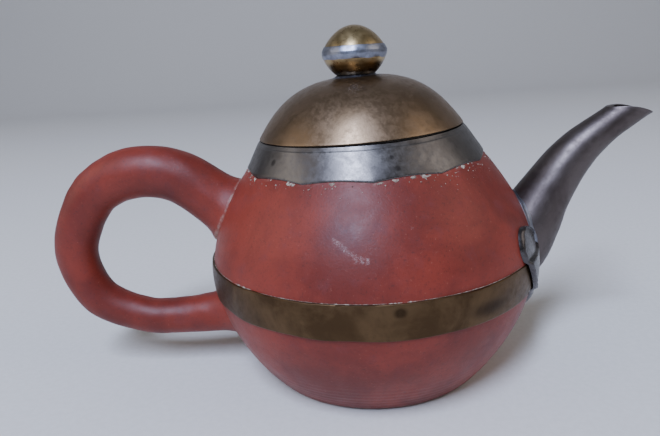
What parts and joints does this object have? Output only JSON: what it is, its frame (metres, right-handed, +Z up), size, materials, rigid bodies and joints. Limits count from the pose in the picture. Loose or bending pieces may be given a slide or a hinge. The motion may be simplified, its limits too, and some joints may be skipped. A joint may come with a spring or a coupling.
{
  "type": "clay teapot",
  "caption": "Pear-shaped unglazed clay teapot with ring handle, metal mouth collar, belt and curved spout, and a domed lid with ball knob that lifts off.",
  "frame": {"origin": "middle of the flat base the pot stands on, on the pot's own axis", "axes": "+Z up along the pot's axis, +X towards the spout, the handle towards -X"},
  "size_m": [0.19, 0.1026, 0.1078],
  "materials": {
    "red_clay": "unglazed burnished stoneware, matte with a soft sheen",
    "aged_brass": "aged brown brass, rubbed bright in places",
    "pewter": "dark worn pewter, satin",
    "solder": "bright bluish tin solder, satin",
    "cement": "pale chalky cement"
  },
  "bodies": {
    "pot": {"clay_body": "red_clay", "clay_handle": "red_clay", "brass_belt": "aged_brass", "mouth_collar": "pewter", "collar_bedding": "cement", "mouth_seat_ring": "pewter", "spout": "pewter", "spout_flange": "solder", "heart_escutcheon": "pewter"},
    "lid": {"lid_dome": "aged_brass", "lid_flange": "aged_brass", "knob_foot": "solder", "knob_bowl": "aged_brass", "knob_seam_ring": "solder", "knob_crown": "aged_brass", "knob_stud": "aged_brass", "stud_washer": "aged_brass"}
  },
  "joints": [
    {"name": "lid_lift", "type": "slide", "parent": "pot", "child": "lid", "axis": [-0.0384, 0, 0.9993], "range_m": [0, 0.06]}
  ]
}
